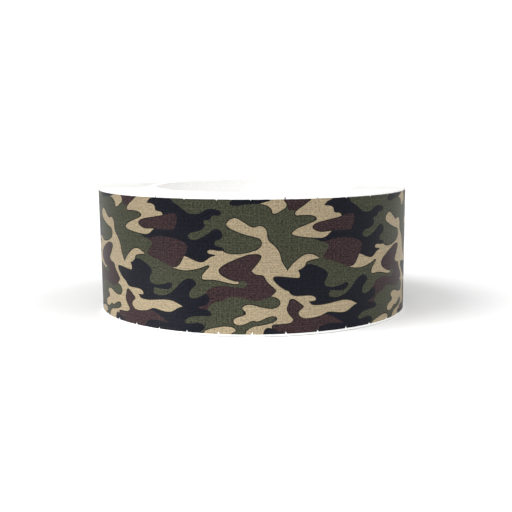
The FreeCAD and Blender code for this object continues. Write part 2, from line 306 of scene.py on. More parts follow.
DRAGON = [
    (-39.4, 44.55, SHARP), (-38.9, 45.3), (-37.9, 46.1), (-36.2, 46.8), (-34.3, 49), (-30, 49),
    (-28.9, 46.2), (-27.6, 45), (-26.2, 44.2), (-25, 43.4), (-23.9, 42.6), (-22.7, 41.8),
    (-21.4, 41.4), (-20, 41.3), (-18.6, 41.5), (-17.2, 42.1), (-15.8, 42.9), (-14.2, 43.3),
    (-12.4, 43.1), (-11, 42.7), (-10.4, 42), (-10.8, 41.2), (-12, 41), (-13.4, 40.9), (-13.9, 40.3),
    (-14.5, 39.5), (-15.6, 39.3), (-16.6, 39.15), (-16.6, 38.4), (-16.2, 37.7), (-16.4, 36.9),
    (-17.4, 36), (-19, 35.4), (-20.8, 35), (-22.1, 34.4), (-22.5, 33.6), (-21.9, 32.8), (-20.7, 32.4),
    (-19.2, 32.6), (-17.5, 33.3), (-15.9, 34.2), (-14.5, 35.2), (-13.2, 36.1), (-12, 36.4),
    (-10.8, 35.9), (-10.1, 34.9), (-10.1, 33.7), (-10.9, 32.8), (-12.3, 32.4), (-12.9, 31.6),
    (-12.4, 30.7), (-11, 30.3), (-9.8, 29.8), (-9.6, 29.15), (-10.6, 28.9), (-12.4, 29), (-14, 29.2),
    (-15.2, 28.9), (-15.3, 28.2), (-14.3, 27.8), (-13, 27.65), (-12.5, 27.35), (-13.2, 27),
    (-14.3, 26.7), (-15.3, 25.9), (-16.6, 25), (-17.8, 24.75), (-19.3, 25), (-21, 25.6), (-22.7, 26.3),
    (-24.2, 26.8), (-25.5, 28), (-28, 31), (-35, 31), (-38.2, 31.5), (-39.4, 32), (-40.6, 32.15),
    (-41.9, 32.65), (-43.3, 33.3, SHARP), (-42.1, 33.45), (-40.4, 33.35), (-38.8, 33.75), (-37.7, 34.5),
    (-36.6, 35.4), (-34, 37), (-32.5, 39.4), (-32.4, 40.7), (-33, 41.55), (-34.5, 41.8), (-35.5, 42.1),
    (-35.7, 42.9), (-36, 43.8), (-37.4, 44.3),
]

RIPPLE = [
    (-7.7, 45.1), (-7, 44.55), (-5.5, 44.35), (-3.8, 44.5), (-2, 44.8), (0, 44.95), (1.6, 44.95),
    (3, 45.15), (4.5, 45.6), (6.3, 46.15), (6.5, 47.5), (2, 49), (-3, 49), (-5.8, 47), (-7, 46),
]

LEAF = [
    (15.5, 8), (16.8, 11.6), (19.2, 10.95, SHARP), (20.4, 10), (22, 9.5), (25, 9.4), (28, 9.7),
    (31, 10.1), (34, 10.3), (36.4, 10), (38.3, 9.3), (40.1, 8.45, SHARP), (38.4, 7.9), (37, 7.1),
    (35.5, 6.3), (33.5, 6.05), (31, 6.3), (28.7, 6.7), (27.1, 6.7), (26.1, 6.3), (24.5, 5.7),
    (22.3, 5.3), (20, 5.1), (18.3, 5.2), (16.9, 5.7), (16, 6.6),
]

PEBBLE = [
    (-17, 0.1), (-16.2, 1), (-15, 1.5), (-13.8, 1.9), (-11.8, 2.3), (-9.8, 2.65), (-8, 2.65),
    (-6.6, 2.3), (-5.7, 1.6), (-6, 0.9), (-7.2, 0.3), (-8, -2), (-18, -2),
]

SHIELD = [
    (-39.6, 31.9), (-37.8, 32.35), (-35.5, 32.85), (-33, 33), (-30.5, 33), (-28, 32.7), (-26, 32.2),
    (-24.2, 31.5), (-23, 30.6), (-22.8, 29.6), (-23.2, 28.2), (-24, 26.6, SHARP), (-24.8, 25.2),
    (-25.7, 23.8), (-26.8, 22.8), (-28.4, 22.5), (-30, 22.9), (-31.6, 23.5), (-33.6, 24.3),
    (-35.6, 25), (-37.8, 25.6), (-39.5, 26.4), (-39.5, 27.4), (-38.4, 28.8), (-37.4, 30.1),
    (-37.9, 31.1),
]

BAR = [
    (21.1, 36.7), (21.4, 37.4), (22.3, 38), (24, 38.5), (26, 38.9), (28.5, 39.35), (31, 39.8),
    (33, 40.2), (34.8, 40.6), (36.6, 40.8), (38, 40.4), (38.5, 39.4), (38.2, 37.8), (37.6, 36.2),
    (36.9, 35.3), (35.5, 35.05), (33, 35.1), (31, 35.1), (29, 35.1), (27, 35), (25, 34.9),
    (23.4, 35.1), (22, 35.7), (21.3, 36.2),
]

ROOT = [
    (12.8, 11.6), (13.5, 12.15), (14.6, 12.1), (15.8, 11.3), (17, 10.4), (18.1, 9.5), (17.9, 8.8),
    (16.8, 8), (16.25, 7.1), (16.5, 6.3), (17.3, 5.6), (18.5, 5.15), (20.5, 5.05), (23, 5.35),
    (25.8, 5.85), (27.5, 5.6), (29, 5.1), (30.6, 4.3), (32.2, 3.4), (34, 2.2, SHARP), (32, 2.3),
    (29.5, 2.6), (27, 2.5), (25, 2), (23.2, 0.8), (22, -2), (9, -2), (6.8, 2.2), (7.2, 3.3),
    (8.5, 3.45), (10.5, 3.55), (12.3, 3.65), (13.6, 4), (14.3, 4.7), (13.8, 5.6), (12.8, 6.7),
    (12.1, 8), (12, 9.2), (12.5, 10.3),
]

STONE = [
    (4, -2), (4, 0.9), (4.5, 1.9), (5.6, 2.35), (6.8, 2.1), (8, 1.4), (9.5, 0.8), (11, 0.3), (12, -2),
]

# The order of printing: each shape covers those before it, all on an olive ground.
PRINT_ORDER = [
    ("brown", EDGE_STUB), ("tan", TREE), ("tan", BRANCH),
    ("tan", DROP), ("brown", BOOT), ("black", CLOUD),
    ("black", BRIDGE), ("black", STREAM), ("black", DRAGON),
    ("black", RIPPLE), ("tan", LEAF), ("tan", PEBBLE),
    ("brown", SHIELD), ("brown", BAR), ("brown", ROOT),
    ("black", STONE),
]

# The pattern repeats after this much tape.
REPEAT = 65.0
DRIFT = 0.45


def drift(along):
    """How far the pattern rises: it is slightly askew, so it stands lower on the right of the front."""
    return -DRIFT * math.sin(along / FACE_RADIUS)


# ---------------- materials
def new_material(name, roughness, specular):
    material = bpy.data.materials.new(name)
    material.use_nodes = True
    shader = material.node_tree.nodes["Principled BSDF"]
    shader.inputs["Roughness"].default_value = roughness
    shader.inputs["Specular IOR Level"].default_value = specular
    return material, material.node_tree, shader


def node(tree, kind, settings=None, values=None):
    made = tree.nodes.new(kind)
    for key, value in (settings or {}).items():
        setattr(made, key, value)
    for key, value in (values or {}).items():
        made.inputs[key].default_value = value
    return made


def maths(tree, operation, first, second=None):
    made = tree.nodes.new("ShaderNodeMath")
    made.operation = operation
    for socket, value in zip(made.inputs, (first, second)):
        if value is None:
            continue
        if isinstance(value, (int, float)):
            socket.default_value = value
        else:
            tree.links.new(value, socket)
    return made.outputs[0]


def mixed(tree, share, first, second):
    """A colour between two colours, each a plain colour or a socket."""
    made = tree.nodes.new("ShaderNodeMix")
    made.data_type = "RGBA"
    tree.links.new(share, made.inputs["Factor"])
    for socket, value in ((made.inputs[6], first), (made.inputs[7], second)):
        if isinstance(value, tuple):
            socket.default_value = (*value, 1)
        else:
            tree.links.new(value, socket)
    return made.outputs[2]


def weighted(tree, first, share, second, rest):
    """The sum of two values, each times its own share."""
    return maths(tree, "ADD", maths(tree, "MULTIPLY", first, share),
                 maths(tree, "MULTIPLY", second, rest))


def stretched(tree, vector, shares):
    """The vector with each part times its share: a noise is drawn out where the share is small."""
    made = node(tree, "ShaderNodeVectorMath", {"operation": "MULTIPLY"})
    tree.links.new(vector, made.inputs[0])
    made.inputs[1].default_value = shares
    return made.outputs[0]


def tape_place(tree):
    """The point's place on the flat tape, in millimetres: the whole vector, along and up."""
    place = node(tree, "ShaderNodeAttribute", {"attribute_name": "tape_place"})
    parts = tree.nodes.new("ShaderNodeSeparateXYZ")
    tree.links.new(place.outputs["Vector"], parts.inputs[0])
    return place.outputs["Vector"], parts.outputs[0], parts.outputs[1]


def wave(tree, place, pitch):
    """A smooth wave from 0 to 1 with its crests a pitch apart."""
    turned = maths(tree, "MULTIPLY", place, TAU / pitch)
    swing = maths(tree, "COSINE", turned)
    half = maths(tree, "MULTIPLY", swing, 0.5)
    return maths(tree, "ADD", half, 0.5)


def noise_field(tree, vector, scale, detail=3.0, roughness=0.5):
    field = node(tree, "ShaderNodeTexNoise", None,
                 {"Scale": scale, "Detail": detail, "Roughness": roughness})
    tree.links.new(vector, field.inputs["Vector"])
    return field.outputs["Fac"]


def ranged(tree, value, low, high, new_low, new_high):
    made = node(tree, "ShaderNodeMapRange", None,
                {"From Min": low, "From Max": high, "To Min": new_low, "To Max": new_high})
    tree.links.new(value, made.inputs["Value"])
    return made.outputs["Result"]


def bumped(tree, shader, height, distance):
    """Height from 0 to 1 stands for the distance, in millimetres."""
    bump = node(tree, "ShaderNodeBump", None, {"Strength": 1.0, "Distance": distance * MM})
    tree.links.new(height, bump.inputs["Height"])
    tree.links.new(bump.outputs["Normal"], shader.inputs["Normal"])


THREAD_PITCH = 0.85


def thread_strength(tree, vector, stretch):
    """Thicker and thinner threads: a noise drawn out along them."""
    slub = noise_field(tree, stretched(tree, vector, stretch), 1.0, 2.0)
    return ranged(tree, slub, 0.3, 0.7, 0.35, 1.15)


def weave_height(tree, vector, along, up):
    """Threads both ways, over and under each other by turns, a little uneven."""
    wobble = noise_field(tree, vector, 0.35, 3.0)
    shifted_along = maths(tree, "ADD", along, maths(tree, "MULTIPLY", wobble, 1.6))
    shifted_up = maths(tree, "ADD", up, maths(tree, "MULTIPLY", wobble, -1.3))
    weft = maths(tree, "MULTIPLY", wave(tree, shifted_along, THREAD_PITCH),
                 thread_strength(tree, vector, (1.2, 0.12, 1.0)))
    warp = maths(tree, "MULTIPLY", wave(tree, shifted_up, THREAD_PITCH),
                 thread_strength(tree, vector, (0.12, 1.2, 1.0)))
    slow_along = wave(tree, shifted_along, 2 * THREAD_PITCH)
    slow_up = wave(tree, shifted_up, 2 * THREAD_PITCH)
    over = maths(tree, "MULTIPLY", slow_along, slow_up)
    crossed = maths(tree, "MAXIMUM", weft, warp)
    return weighted(tree, crossed, 0.75, over, 0.25)


# What a slightly warmer patch of ink does to each colour channel.
WARMTH = (1.14, 0.97, 0.95)


def film_material(name, colour, grain_share, roughness):
    """Printed plastic film drawn down over the weave: ink with a little grain, and a soft gloss."""
    material, tree, shader = new_material(name, roughness, 0.12)
    vector, along, up = tape_place(tree)
    weave = weave_height(tree, vector, along, up)
    speckle = noise_field(tree, vector, 1.5, 2.0, 0.6)
    tint = noise_field(tree, vector, 0.9, 1.0)
    dark = tuple(channel * (1 - grain_share) for channel in colour)
    light = tuple(channel * (1 + grain_share) for channel in colour)
    grain = weighted(tree, weave, 0.2, speckle, 0.8)
    inked = mixed(tree, ranged(tree, grain, 0.36, 0.69, 0.0, 1.0), dark, light)
    warm = tuple(channel * share for channel, share in zip(colour, WARMTH))
    tinted = mixed(tree, ranged(tree, tint, 0.45, 0.75, 0.0, 0.45), inked, warm)
    tree.links.new(tinted, shader.inputs["Base Color"])
    gloss = maths(tree, "ADD", maths(tree, "MULTIPLY", speckle, 0.22), roughness - 0.1)
    tree.links.new(gloss, shader.inputs["Roughness"])
    bumped(tree, shader, weighted(tree, weave, 0.6, speckle, 0.4), 0.09)
    return material


def cloth_material():
    """White woven scrim, seen where the film stops short of the tape's edges."""
    material, tree, shader = new_material("scrim_cloth", 0.85, 0.25)
    vector, along, up = tape_place(tree)
    weave = weave_height(tree, vector, along, up)
    fibre = noise_field(tree, vector, 3.0, 5.0, 0.7)
    tone = weighted(tree, weave, 0.6, fibre, 0.4)
    colour = mixed(tree, ranged(tree, tone, 0.2, 0.8, 0.0, 1.0),
                   (0.74, 0.74, 0.72), (0.93, 0.93, 0.92))
    tree.links.new(colour, shader.inputs["Base Color"])
    shader.inputs["Sheen Weight"].default_value = 0.2
    bumped(tree, shader, tone, 0.06)
    return material


def rubber_material():
    """White pressure-sensitive adhesive, soft and slightly shiny, with stretch marks along the tape."""
    material, tree, shader = new_material("tape_adhesive", 0.45, 0.4)
    vector, _, _ = tape_place(tree)
    drawn = stretched(tree, vector, (0.12, 1.0, 1.0))
    streak = noise_field(tree, drawn, 1.1, 4.0, 0.6)
    pitted = noise_field(tree, vector, 2.6, 3.0)
    colour = mixed(tree, ranged(tree, streak, 0.3, 0.7, 0.0, 1.0),
                   (0.83, 0.82, 0.77), (0.91, 0.905, 0.88))
    tree.links.new(colour, shader.inputs["Base Color"])
    shader.inputs["Subsurface Weight"].default_value = 0.05
    shader.inputs["Subsurface Scale"].default_value = 0.0005
    bumped(tree, shader, maths(tree, "ADD", streak, pitted), 0.05)
    return material


def around_and_out(tree):
    """Place on the roll: turn in radians, radius and height in millimetres, plain coordinates."""
    place = tree.nodes.new("ShaderNodeTexCoord")
    parts = tree.nodes.new("ShaderNodeSeparateXYZ")
    tree.links.new(place.outputs["Object"], parts.inputs[0])
    turn = maths(tree, "ARCTAN2", parts.outputs[1], parts.outputs[0])
    squares = maths(tree, "ADD",
                    maths(tree, "MULTIPLY", parts.outputs[0], parts.outputs[0]),
                    maths(tree, "MULTIPLY", parts.outputs[1], parts.outputs[1]))
    radius = maths(tree, "DIVIDE", maths(tree, "SQRT", squares), MM)
    height = maths(tree, "DIVIDE", parts.outputs[2], MM)
    return turn, radius, height, place.outputs["Object"]


def wound_material():
    """The edges of the wound turns: white cloth and adhesive, with fine thread ends."""
    material, tree, shader = new_material("wound_tape_edges", 0.7, 0.3)
    _, radius, _, place = around_and_out(tree)
    ring = node(tree, "ShaderNodeTexNoise", {"noise_dimensions": "1D"}, {"Scale": 2.2, "Detail": 3.0})
    tree.links.new(radius, ring.inputs["W"])
    ends = noise_field(tree, place, 2600.0, 3.0, 0.6)
    soft = noise_field(tree, place, 60.0, 2.0)
    tone = weighted(tree, ring.outputs["Fac"], 0.5, soft, 0.5)
    banded = mixed(tree, ranged(tree, tone, 0.3, 0.7, 0.0, 1.0),
                   (0.70, 0.695, 0.68), (0.88, 0.88, 0.87))
    dotted = mixed(tree, ranged(tree, ends, 0.55, 0.75, 0.0, 0.35), banded,
                   (0.97, 0.97, 0.96))
    tree.links.new(dotted, shader.inputs["Base Color"])
    bumped(tree, shader, ends, 0.05)
    return material


# The width of a paper strip's seam line, as a share of a full turn.
SEAM_LINE = 0.0016


def paper_material(name, colour, seam_pitch):
    """Spiral-wound paper: pale fibres, flecks, and the faint line where one strip meets the next."""
    material, tree, shader = new_material(name, 0.82, 0.25)
    turn, _, height, place = around_and_out(tree)
    drawn = stretched(tree, place, (1.0, 1.0, 2.2))
    fibre = noise_field(tree, drawn, 900.0, 6.0, 0.7)
    fleck = noise_field(tree, place, 2400.0, 2.0)
    soft = noise_field(tree, place, 45.0, 2.0)
    dark = tuple(channel * 0.90 for channel in colour)
    tone = weighted(tree, fibre, 0.7, soft, 0.3)
    base = mixed(tree, ranged(tree, tone, 0.35, 0.65, 0.0, 1.0), dark, colour)
    flecked = mixed(tree, ranged(tree, fleck, 0.68, 0.8, 0.0, 0.25), base,
                    (0.55, 0.50, 0.42))
    steps = maths(tree, "ADD", maths(tree, "DIVIDE", turn, TAU),
                  maths(tree, "DIVIDE", height, seam_pitch))
    part = maths(tree, "FRACT", steps)
    seam = ranged(tree, part, 0.0, SEAM_LINE, 0.35, 0.0)
    seamed = mixed(tree, seam, flecked, (0.42, 0.38, 0.32))
    tree.links.new(seamed, shader.inputs["Base Color"])
    bumped(tree, shader, tone, 0.04)
    return material


# Ink colours, linear.
INKS = {
    "olive": (0.0430, 0.0465, 0.0285),
    "tan": (0.311, 0.256, 0.164),
    "brown": (0.0330, 0.0178, 0.0198),
    "black": (0.0041, 0.0050, 0.0106),
    "rim": (0.007, 0.0065, 0.0055),
}
INK_NAMES = list(INKS)
# How far the grain lightens and darkens each ink.
GRAIN = {"olive": 0.6, "tan": 0.34, "brown": 0.8, "black": 0.95, "rim": 0.3}
FILM_ROUGHNESS = 0.42
film_inks = [film_material("film_" + ink, colour, GRAIN[ink], FILM_ROUGHNESS)
             for ink, colour in INKS.items()]
scrim_cloth = cloth_material()
tape_adhesive = rubber_material()
wound_edges = wound_material()


# ---------------- the printed film
# The nicks stand at an even pitch. Those in the upper edge are a little to the left of the lower ones.
NICK_PITCH = 11.68
NICK_SHIFT = 0.05
HIGH_NICK_SHIFT = -0.4
NICK_MARGIN = 1.5
# Width and depth of a nick in each edge, and width and height of each burr by its place along the tape.
LOW_NICK = (0.9, 0.95)
HIGH_NICK = (0.55, 0.5)
BURRS = {11: (0.36, 0.85), 23: (0.3, 0.45), -35: (0.3, 0.4), -58: (0.3, 0.3)}
RIM_WIDTH = 0.34
OUTLINE_STEP = 0.6
GRID_STEP = 2.2
EDGE_STEP = 0.9
EDGE_WANDER = 0.07
EDGE_WAVES = 0.6
CUT_OVERHANG = 5.0


def nick_places(start, end):
    """The nicks' places along the tape, none too near the film's ends."""
    first = math.ceil((start + NICK_MARGIN - NICK_SHIFT) / NICK_PITCH)
    last = math.floor((end - NICK_MARGIN - NICK_SHIFT) / NICK_PITCH)
    return [NICK_SHIFT + NICK_PITCH * number for number in range(first, last + 1)]


def nick_points(along, edge, size, inward, rng):
    """A small torn V in the film's edge."""
    half = size[0] / 2 * rng.uniform(0.75, 1.2)
    deep = size[1] * rng.uniform(0.7, 1.1) * inward
    tip = along + rng.uniform(-0.12, 0.12)
    return [(along - half, edge), (along - half * 0.55, edge + deep * 0.5), (tip, edge + deep),
            (along + half * 0.4, edge + deep * 0.55), (along + half, edge)]


def burr_points(along, size, edge):
    """A scrap of film left standing past the upper edge."""
    half = size[0] / 2
    tall = size[1]
    return [(along - half * 0.8, edge), (along - half, edge + tall * 0.55),
            (along - half * 0.3, edge + tall), (along + half * 0.6, edge + tall * 0.9),
            (along + half, edge + tall * 0.4), (along + half * 0.8, edge)]


def plain_edge(start, end, edge):
    """Points along a stretch of edge between two nicks, wandering a few hundredths of a millimetre."""
    pieces = max(2, int((end - start) / EDGE_STEP))
    points = []
    for number in range(1, pieces):
        along = start + (end - start) * number / pieces
        wander = noise.noise(Vector((along * EDGE_WAVES, edge, 0.0)))
        points.append((along, edge + EDGE_WANDER * wander))
    return points


def film_outline(start, end):
    """The film's flat outline, going round with its inside on the left."""
    rng = random.Random(7)
    lower = [(start, 0.0)]
    upper = [(start, FILM_WIDTH)]
    for along in nick_places(start, end):
        low = nick_points(along, 0.0, LOW_NICK, 1, rng)
        burr = next((size for place, size in BURRS.items() if abs(place - along) < 1.0), None)
        if burr:
            high = burr_points(along + HIGH_NICK_SHIFT, burr, FILM_WIDTH)
        else:
            high = nick_points(along + HIGH_NICK_SHIFT, FILM_WIDTH, HIGH_NICK, -1, rng)
        lower += plain_edge(lower[-1][0], low[0][0], 0.0) + low
        upper += plain_edge(upper[-1][0], high[0][0], FILM_WIDTH) + high
    lower += plain_edge(lower[-1][0], end, 0.0) + [(end, 0.0)]
    upper += plain_edge(upper[-1][0], end, FILM_WIDTH) + [(end, FILM_WIDTH)]
    return [Vector(point) for point in lower + upper[::-1]]


def print_lines(start, end):
    """Every copy of every printed shape that reaches the film, in printing order: (ink, line)."""
    printed = []
    copies = range(math.floor(start / REPEAT) - 1, math.ceil(end / REPEAT) + 2)
    for ink, shape in PRINT_ORDER:
        line = turns_left(smoothed(shape, OUTLINE_STEP))
        if ink == "tan":
            coats = (("tan_rim", widened(line, RIM_WIDTH)), (ink, line))
        else:
            coats = ((ink + "_rim", line), (ink, widened(line, -RIM_WIDTH)))
        for coat, flat in coats:
            for copy in copies:
                moved = []
                for point in flat:
                    along = point.x + copy * REPEAT
                    moved.append(Vector((along, point.y + drift(along) - drift(point.x))))
                if max(point.x for point in moved) > start and min(point.x for point in moved) < end:
                    printed.append((coat, moved))
    return printed


def top_ink(coats):
    """The ink on top of these coats. A dark rim lies only where tan meets another ink."""
    ink, _, rim = coats[-1].partition("_")
    if not rim:
        return ink
    under = [coat for coat in coats if not coat.endswith("_rim")][-1]
    if ink == "tan":
        return "tan" if under == "tan" else "rim"
    return "rim" if under == "tan" else ink


# How the flat film is cut into triangles: only inside the shapes, with points this near made one.
INSIDE_SHAPES = 1
MERGED = 1e-4


def film_layout():
    """Flat points and triangles of the whole film with an ink for each, cut along every printed line."""
    start = along_at(OUTER_START)
    end = along_at(FREE_TIP)
    points = film_outline(start, end)
    shapes = [list(range(len(points)))]
    coats = ["olive"]
    for coat, line in print_lines(start, end):
        shapes.append(list(range(len(points), len(points) + len(line))))
        points += line
        coats.append(coat)
    split = along_at(SPLIT)
    cut = (len(points), len(points) + 1)
    points += [Vector((split, -CUT_OVERHANG)), Vector((split, FILM_WIDTH + CUT_OVERHANG))]
    rows = int(FILM_WIDTH / GRID_STEP)
    for angle in stations(OUTER_START, FREE_TIP, GRID_STEP)[1:-1]:
        for row in range(1, rows + 1):
            points.append(Vector((along_at(angle), FILM_WIDTH * (row - 0.5) / rows)))
    flat, _, faces, _, _, sources = delaunay_2d_cdt(points, [cut], shapes, INSIDE_SHAPES, MERGED, True)
    kept = []
    inks = []
    for face, source in zip(faces, sources):
        if 0 in source:
            kept.append(face)
            inks.append(INK_NAMES.index(top_ink([coats[number] for number in sorted(source)])))
    return flat, kept, inks, split


def film_piece(name, flat, faces, inks, wanted):
    """A closed sheet of film from the wanted triangles: outer face, inner face and cut edges."""
    chosen = [number for number, face in enumerate(faces)
              if wanted(sum(flat[i].x for i in face) / len(face))]
    used = sorted({i for number in chosen for i in faces[number]})
    order = {old: new for new, old in enumerate(used)}
    count = len(used)
    points = []
    places = []
    for rise in (ADHESIVE + SCRIM + FILM, ADHESIVE + SCRIM):
        for i in used:
            points.append(wound_point(angle_at(flat[i].x), rise, FILM_LOW + flat[i].y))
            places.append((flat[i].x, flat[i].y, 0.0))
    sheets = []
    slots = []
    edges = {}
    for number in chosen:
        face = [order[i] for i in faces[number]]
        sheets.append(face)
        slots.append(inks[number])
        for a, b in zip(face, face[1:] + face[:1]):
            if (b, a) in edges:
                del edges[(b, a)]
            else:
                edges[(a, b)] = inks[number]
    back = [[i + count for i in face[::-1]] for face in sheets]
    slots += slots
    sheets += back
    for (a, b), ink in edges.items():
        sheets.append([b, a, a + count, b + count])
        slots.append(ink)
    piece = make_piece(name, points, sheets, film_inks, slots)
    lay_flat(piece, places)
    sharpen(piece)
    return piece


# ---------------- swept layers of the tape
SWEEP_STEP = 1.7


def rounded_profile(low_rise, high_rise, corner):
    """Section of a layer as (rise, height), its four corners cut by a small round."""
    deep = corner * 0.3
    profile = []
    for rise, height, side, end in ((low_rise, 0.0, 1, 1), (high_rise, 0.0, -1, 1),
                                    (high_rise, WIDTH, -1, -1), (low_rise, WIDTH, 1, -1)):
        first = (rise, height + corner * end)
        middle = (rise + deep * side, height + deep * end)
        last = (rise + corner * side, height)
        profile += [first, middle, last] if side == end else [last, middle, first]
    return profile


def swept_layer(name, low_rise, high_rise, corner, start, end, material):
    """One layer of the tape from one winding angle to another, as a closed solid."""
    profile = rounded_profile(low_rise, high_rise, corner)
    angles = stations(start, end - 1e-6, SWEEP_STEP)
    steps = len(angles) - 1
    points = []
    places = []
    for angle in angles:
        for rise, height in profile:
            points.append(wound_point(angle, rise, height))
            places.append((along_at(angle), height - FILM_LOW, rise))
    size = len(profile)
    faces = [list(range(size))]
    for step in range(steps):
        for i in range(size):
            j = (i + 1) % size
            here = step * size
            after = here + size
            faces.append([here + i, after + i, after + j, here + j])
    faces.append([steps * size + i for i in range(size)][::-1])
    piece = make_piece(name, points, faces, [material])
    lay_flat(piece, places)
    sharpen(piece)
    return piece


# ---------------- the wound turns
WOUND_STEPS = 150
GROOVE_DEPTH = 0.11
# A ridge's points: the share of the turn's thickness, and how far below the ridge's top.
CROWN = ((0.2, 0.018), (0.5, 0.0), (0.8, 0.022))
CROWN_SPREAD = 0.075


def crown_drop(step, side):
    """How far the top of a turn lies below the tape's full width: each turn a little its own."""
    angle = TAU * step / WOUND_STEPS
    turn = step / WOUND_STEPS
    place = Vector((math.cos(angle) * 1.5, math.sin(angle) * 1.5, turn * 0.9 + side * 40))
    return CROWN_SPREAD * (0.5 + 0.5 * max(-1.0, min(1.0, 1.6 * noise.noise(place))))


def wound_turns():
    """All the turns under the outer one, each a low ridge with a groove between it and the next."""
    total = WOUND_TURNS * WOUND_STEPS
    points = []
    rows = []
    for side in (1, -1):
        grooves = []
        ridges = []
        for step in range(total + WOUND_STEPS + 1):
            angle = TAU * step / WOUND_STEPS
            drop = crown_drop(step, side)
            groove_z = drop + GROOVE_DEPTH
            height = WIDTH - groove_z if side > 0 else groove_z
            if step < WOUND_STEPS:
                place = Vector((CORE_RADIUS * math.cos(angle + END_ANGLE),
                                CORE_RADIUS * math.sin(angle + END_ANGLE), height)) * MM
            else:
                place = wound_point(angle, 0.0, height)
            grooves.append(len(points))
            points.append(place)
            if step > total:
                continue
            row = []
            for share, lower in CROWN:
                z = WIDTH - drop - lower if side > 0 else drop + lower
                row.append(len(points))
                points.append(wound_point(angle, share * TAPE, z))
            ridges.append(row)
        rows.append((grooves, ridges))
    faces = []
    for (grooves, ridges), flip in zip(rows, (False, True)):
        for step in range(total):
            here = [grooves[step], *ridges[step], grooves[step + WOUND_STEPS]]
            after = [grooves[step + 1], *ridges[step + 1], grooves[step + 1 + WOUND_STEPS]]
            if step == WOUND_STEPS - 1:
                after[0] = grooves[WOUND_STEPS]
            for i in range(len(CROWN) + 1):
                face = [here[i], here[i + 1], after[i + 1], after[i]]
                faces.append(face[::-1] if flip else face)
        gap = [grooves[WOUND_STEPS - 1], grooves[WOUND_STEPS], *ridges[0][::-1], grooves[0]]
        faces.append(gap if flip else gap[::-1])
    (top, top_ridges), (low, low_ridges) = rows
    for step in range(WOUND_STEPS):
        after = (step + 1) % WOUND_STEPS
        faces.append([top[step], top[after], low[after], low[step]])
        outer = total + step
        faces.append([top[outer + 1], top[outer], low[outer], low[outer + 1]])
    step_top = [top[total], *top_ridges[total], top[total + WOUND_STEPS]]
    step_low = [low[total], *low_ridges[total], low[total + WOUND_STEPS]]
    for i in range(len(CROWN) + 1):
        faces.append([step_top[i], step_top[i + 1], step_low[i + 1], step_low[i]])
    piece = make_piece("wound_turns_of_tape", points, faces, [wound_edges])
    sharpen(piece, 60)
    return piece


# ---------------- the free end's thread ends
THREAD_RADIUS = 0.07
THREAD_SIDES = 6
THREAD_RINGS = 5
THREAD_ROOT = 0.3
THREAD_TIP = 0.45


def thread_ends():
    """The cut ends of the scrim's long threads, standing a little way out of the free end."""
    rng = random.Random(11)
    points = []
    faces = []
    count = int(WIDTH / THREAD_PITCH)
    for number in range(count):
        height = (number + 0.5) * WIDTH / count
        reach = rng.uniform(0.1, 0.9) ** 2 + 0.15
        lean = rng.uniform(-0.25, 0.25)
        first = len(points)
        for ring in range(THREAD_RINGS):
            share = ring / (THREAD_RINGS - 1)
            angle = FREE_TIP + (share * reach - THREAD_ROOT) / FACE_RADIUS
            radius = THREAD_RADIUS * (1.0 if ring < THREAD_RINGS - 1 else THREAD_TIP)
            for side in range(THREAD_SIDES):
                turn = TAU * side / THREAD_SIDES
                rise = ADHESIVE + SCRIM / 2 + radius * 0.5 * math.cos(turn)
                up = height + lean * share * share + radius * math.sin(turn)
                points.append(wound_point(angle, rise, up))
        for ring in range(THREAD_RINGS - 1):
            low = first + ring * THREAD_SIDES
            high = low + THREAD_SIDES
            for side in range(THREAD_SIDES):
                after = (side + 1) % THREAD_SIDES
                faces.append([low + side, low + after, high + after, high + side])
        faces.append([first + side for side in range(THREAD_SIDES)][::-1])
        last = first + (THREAD_RINGS - 1) * THREAD_SIDES
        faces.append([last + side for side in range(THREAD_SIDES)])
    piece = make_piece("free_end_thread_ends", points, faces, [scrim_cloth])
    lay_flat(piece, [(0.0, 0.0, 0.0)] * len(points))
    return piece


# ---------------- the core's inner liner
LINER_THICKNESS = 0.25
LINER_AROUND = 180
LINER_LEVELS = 25
# The strip climbs this much in a full turn. Its seam is a small step that fades out over a share of the
# turn, and the step's own face takes up a much smaller share.
LINER_STRIP = 92.0
SEAM_STEP = 0.07
SEAM_RAMP = 0.10
SEAM_FACE = 0.0006
LINER_COLOUR = (0.965, 0.96, 0.95)
LINER_SEAM_PITCH = 31.0


def liner():
    """The core's inner paper strip, wound on a slant, with a small step inside at its seam."""
    around = LINER_AROUND
    low, high = box_mm("core_inner_liner")
    points = []
    for surface in ("inner", "outer"):
        for level in range(LINER_LEVELS):
            height = low.z + (high.z - low.z) * level / (LINER_LEVELS - 1)
            slant = -TAU * height / LINER_STRIP
            for i in range(around):
                share = i / around
                step = SEAM_STEP * max(0.0, 1 - share / SEAM_RAMP) if i else 0.0
                radius = LINER_RADIUS - LINER_THICKNESS + step if surface == "inner" else LINER_RADIUS
                turn = slant + TAU * share
                if i == 1:
                    turn = slant + TAU * SEAM_FACE
                points.append(Vector((radius * math.cos(turn), radius * math.sin(turn), height)) * MM)
    faces = []
    outer = LINER_LEVELS * around
    for level in range(LINER_LEVELS - 1):
        for i in range(around):
            j = (i + 1) % around
            here = level * around
            above = here + around
            faces.append([here + j, here + i, above + i, above + j])
            faces.append([outer + here + i, outer + here + j, outer + above + j, outer + above + i])
    top = (LINER_LEVELS - 1) * around
    for i in range(around):
        j = (i + 1) % around
        faces.append([i, j, outer + j, outer + i])
        faces.append([top + j, top + i, outer + top + i, outer + top + j])
    paper = paper_material("liner_paper", LINER_COLOUR, LINER_SEAM_PITCH)
    piece = make_piece("core_liner_strip", points, faces, [paper])
    sharpen(piece, 30)
    return piece


# ---------------- building the roll
# The lean grows from one x to the other, and from one radius to the other.
LEAN = 0.4 * MM
LEAN_FROM = -15 * MM
LEAN_FULL = -50 * MM
LEAN_INNER = 43 * MM
LEAN_OUTER = 58 * MM


